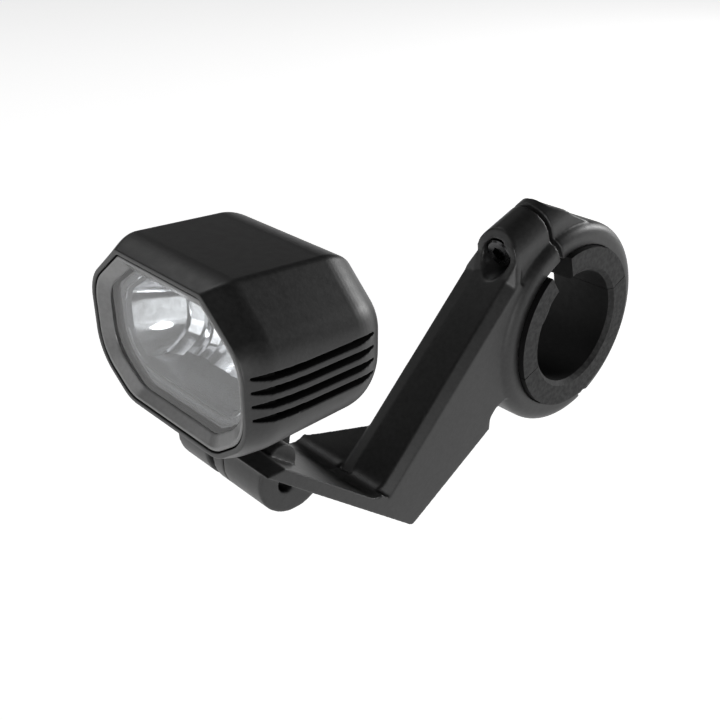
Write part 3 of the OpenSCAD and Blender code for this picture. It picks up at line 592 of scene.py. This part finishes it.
def build_reflector():
    """Upright columns above a level shelf. All but the middle one are flattened and turned their own way."""
    verts, faces = [], []
    tall = COLUMN_ROWS + 3
    last = len(COLUMN_EDGES) - 1
    edges = [-x for x in reversed(COLUMN_EDGES)] + COLUMN_EDGES
    for k, (left, right) in enumerate(zip(edges, edges[1:])):
        band = abs(k - last)
        turned = COLUMN_TILT[band] * (1 if k >= last else -1)
        flat = 1.0 if band == last else COLUMN_FLAT
        start = len(verts)
        for j in range(COLUMN_ACROSS + 1):
            x = left + (right - left) * j / COLUMN_ACROSS
            verts += column_line(x, (left + right) / 2, flat, turned)
        for j in range(COLUMN_ACROSS):
            x = left + (right - left) * (j + 0.5) / COLUMN_ACROSS
            for c in range(start + j * tall, start + (j + 1) * tall - 1):
                if math.hypot(x, verts[c][2] - RIM_Z - OPTIC) > LED_R:
                    faces.append((c, c + 1, c + tall + 1, c + tall))
        if k:
            # Step between this column and the one before
            before = start - tall
            faces += [(before + i, before + i + 1, start + i + 1, start + i) for i in range(tall - 1)]
    piece = thin_sheet("reflector_bowl", verts, faces, (0, -1, 0), 0.5)
    smooth_shade(piece, 22)
    dress(piece, CHROME, "lamp", "reflector_chrome")


def build_shelf():
    """Half-moon shelf: level, with a rolled front edge that drops to the flange."""
    steps, back_steps, overlap, least, gap = 60, 5, 0.3, 0.3, 0.05
    reach = COLUMN_EDGES[-1] - gap
    front = [(-0.9, 0.02), (-0.75, 0.3), (-0.35, 0.62), (-0.28, 0.95), (-0.12, 1.3), (0.0, 1.7)]
    level_from = front[-1][1]
    lines = []
    for j in range(steps + 1):
        x = reach * (2 * j / steps - 1)
        depth = max(least, bowl_depth(x, FLOOR_RISE))
        back = depth + overlap if depth > level_from else level_from
        level = [(0.0, level_from + (back - level_from) * t / back_steps) for t in range(1, back_steps + 1)]
        lines.append([
            (LAMP_X + x, RIM_Y + BOWL_AT + min(run, depth + overlap), RIM_Z + (FLOOR_RISE + rise))
            for rise, run in front + level
        ])
    n = len(lines[0])
    faces = [
        (j * n + i, (j + 1) * n + i, (j + 1) * n + i + 1, j * n + i + 1)
        for j in range(steps) for i in range(n - 1)
    ]
    piece = thin_sheet("reflector_shelf", [p for line in lines for p in line], faces, (0, 0, 1), 0.4)
    smooth_shade(piece, 40)
    dress(piece, SHELF, "lamp", "reflector_chrome")


def build_flange():
    outer, inner = 1.05, BOWL_MOUTH
    profile = [
        (outer, 0.05), (outer, 0.9), (inner + 0.5, 0.9),
        (inner + 0.2, 0.35), (inner - 0.1, 0.12), (inner - 0.35, 0.05),
    ]
    rings = rim_rings([(inset, BOWL_AT + depth) for inset, depth in profile])
    piece = outward(new_mesh("reflector_flange", *skin(rings, closed=True)))
    smooth_shade(piece, 40)
    dress(piece, SHELF, "lamp", "reflector_chrome", "reflector")


# Bracket and clamp, with soft moulded edges
SCREW_OFF, SCREW_TILT, SINK_R = 21.6, math.radians(20), 3.0
BOSS_FACE, BOSS_BEHIND, BOSS_LOW_R = -9.6, -8, 4.4
ARM_TOP, ARM_SLOPE = (-17.4, 14.4), math.radians(44.5)

# The arm's section near its top, as x and depth below its front
ARM_EDGE = [(-3.7, 0.06), (3.7, 0.06), (-6.28, 0.84), (5.18, 1.56), (-6.28, 2.6), (5.18, 2.6)]


def at_screw(x, along, out):
    """A point given along the clamp screw and outwards from the bar."""
    c, s = math.cos(SCREW_TILT), math.sin(SCREW_TILT)
    return (x, along * c - out * s, along * s + out * c)


def on_arm(x, down, below):
    """A point given down the arm from its top and below its front."""
    c, s = math.cos(ARM_SLOPE), math.sin(ARM_SLOPE)
    return (x, ARM_TOP[0] - c * down + s * below, ARM_TOP[1] - s * down - c * below)


def arm_to_boss():
    """Material that runs from the arm's front into the rounded boss, bored for the screw's head."""
    points = [on_arm(x, down, below) for down in (0.1, 0.8) for x, below in ARM_EDGE]
    steps, bore_length = 16, 20
    for along in (BOSS_FACE, BOSS_BEHIND):
        for k in range(steps + 1):
            turn = math.pi + math.pi * k / steps
            x, out = BOSS_LOW_R * math.cos(turn), SCREW_OFF + BOSS_LOW_R * math.sin(turn)
            points.append(at_screw(x, along, out))
    bore_from = at_screw(0, -bore_length, SCREW_OFF)
    bore = cylinder("head_bore", bore_from, at_screw(0, 1, 0), bore_length, SINK_R)
    return carve(hull("arm_to_boss", points), [bore])


def build_mouldings():
    bracket = moulded_copy("bracket_body", "bracket_arm", voxel=0.26, rounds=4, more=[arm_to_boss()])
    dress(bracket, BRACKET, "bracket", "bracket_black", "bracket_arm")
    cap = moulded_copy("clamp_cap_body", "clamp_cap", voxel=0.25, rounds=3)
    dress(cap, BRACKET, "bracket", "bracket_black", "clamp_cap")
    foot = moulded_copy("lamp_foot_body", "lamp_foot", voxel=0.24, rounds=2)
    dress(foot, HOUSING, "lamp", "foot_black", "lamp_foot")


# CAD nodes that keep their own shape, with a small bevel
KEPT = {
    "lens_gasket": RUBBER, "led_board": BOARD_WHITE, "led_emitter": PHOSPHOR, "led_board_screws": STEEL,
    "thermal_pad": PAD, "led_carrier": ALUMINIUM, "carrier_screws": STEEL, "driver_board": BOARD_GREEN,
    "driver_inductor": COIL, "driver_capacitor": CAN, "board_wires": WIRE, "cable_grommet": RUBBER,
    "foot_screws": STEEL, "tilt_washer": WASHER, "pivot_screw": STEEL, "pivot_insert": BRASS,
    "clamp_screw": BLACK_STEEL, "clamp_insert": BRASS,
    "shim_front": SHIM_BORE_SHADED, "shim_rear": SHIM_BORE_SHADED, "shim_top": SHIM_BORE_SHADED, "front_lens": LENS,
}
BEVEL = 0.06
BEVELS = {"shim_front": 0.25, "shim_rear": 0.25, "shim_top": 0.25, "cable_grommet": 0.25, "tilt_washer": 0.12}


def dress_kept_nodes():
    for name, material in KEPT.items():
        node = NODES[name]
        node.data.materials.clear()
        node.data.materials.append(material)
        for polygon in node.data.polygons:
            polygon.material_index = 0
        modifier(node, "BEVEL", width=BEVELS.get(name, BEVEL) * MM, segments=2, limit_method="ANGLE",
                 angle_limit=math.radians(35), use_clamp_overlap=True)


build_housing()
build_bezel()
build_reflector()
build_shelf()
build_flange()
build_mouldings()
dress_kept_nodes()

# Floor under the hanging bracket
FLOOR_Z, FLOOR_REACH = -45, 900
SQUARE = [(-1, -1), (1, -1), (1, 1), (-1, 1)]
floor_corners = [(x * FLOOR_REACH, y * FLOOR_REACH, FLOOR_Z) for x, y in SQUARE]
floor = new_mesh("floor", floor_corners, [(0, 1, 2, 3)])


def backdrop(tree, lit, shown):
    """A background that lights the part at one level and is shown, also in gloss and glass, at another."""
    path = tree.nodes.new("ShaderNodeLightPath")
    seen = path.outputs["Is Camera Ray"]
    for other in ("Is Glossy Ray", "Is Transmission Ray"):
        largest = tree.nodes.new("ShaderNodeMath")
        largest.operation = "MAXIMUM"
        tree.links.new(seen, largest.inputs[0])
        tree.links.new(path.outputs[other], largest.inputs[1])
        seen = largest.outputs[0]
    spread = tree.nodes.new("ShaderNodeMapRange")
    spread.inputs["To Min"].default_value = lit
    spread.inputs["To Max"].default_value = shown
    tree.links.new(seen, spread.inputs["Value"])
    return spread.outputs["Result"]


def build_world():
    """White up to the horizon and a dim ceiling above it, with plain white behind the part."""
    world = bpy.data.worlds.new("studio")
    bpy.context.scene.world = world
    world.use_nodes = True
    tree = world.node_tree
    ground = tree.nodes["Background"]
    tree.links.new(backdrop(tree, lit=0.3, shown=0.97), ground.inputs["Strength"])
    where = tree.nodes.new("ShaderNodeTexCoord").outputs["Generated"]
    height = tree.nodes.new("ShaderNodeSeparateXYZ")
    tree.links.new(where, height.inputs["Vector"])
    ceiling = tree.nodes.new("ShaderNodeValToRGB")
    horizon, ceiling_from = (0.0, 1), (0.24, 0.05)
    for element, (place, level) in zip(ceiling.color_ramp.elements, (horizon, ceiling_from)):
        element.position = place
        element.color = (*grey(level), 1)
    tree.links.new(height.outputs["Z"], ceiling.inputs["Fac"])
    shown = tree.nodes.new("ShaderNodeMix")
    shown.data_type = "RGBA"
    shown.inputs["B"].default_value = (1, 1, 1, 1)
    seen = tree.nodes.new("ShaderNodeLightPath").outputs["Is Camera Ray"]
    tree.links.new(seen, shown.inputs["Factor"])
    tree.links.new(ceiling.outputs["Color"], shown.inputs["A"])
    tree.links.new(shown.outputs["Result"], ground.inputs["Color"])


def floor_look():
    material = bpy.data.materials.new("pale_floor")
    material.use_nodes = True
    tree = material.node_tree
    shader = tree.nodes["Principled BSDF"]
    shader.inputs["Base Color"].default_value = (0.9, 0.9, 0.9, 1)
    shader.inputs["Roughness"].default_value = 0.9
    shader.inputs["Specular IOR Level"].default_value = 0.1
    shader.inputs["Emission Color"].default_value = (1, 1, 1, 1)
    tree.links.new(backdrop(tree, lit=0.2, shown=0.75), shader.inputs["Emission Strength"])
    return material


def area_light(name, place, aim, size, power):
    data = bpy.data.lights.new(name, "AREA")
    data.shape = "DISK"
    data.size = size
    data.energy = power
    lamp = linked(name, data)
    lamp.location = place
    lamp.rotation_euler = (Vector(aim) - Vector(place)).to_track_quat("-Z", "Y").to_euler()


build_world()
floor.data.materials.append(floor_look())

# Lights, in metres and watts
CENTRE, LENS_MIDDLE = (-0.005, -0.05, 0.01), (-0.007, -0.08, 0.018)
area_light("front_near", (-0.13, -0.33, 0.09), LENS_MIDDLE, size=0.24, power=0.21)
area_light("band_left", (-0.46, -0.02, 0.54), CENTRE, size=0.2, power=0.5)
area_light("low_right", (0.5, -0.42, 0.11), CENTRE, size=0.2, power=1.5)
area_light("rim_rear", (0.12, 0.6, 0.2), CENTRE, size=0.2, power=2.2)
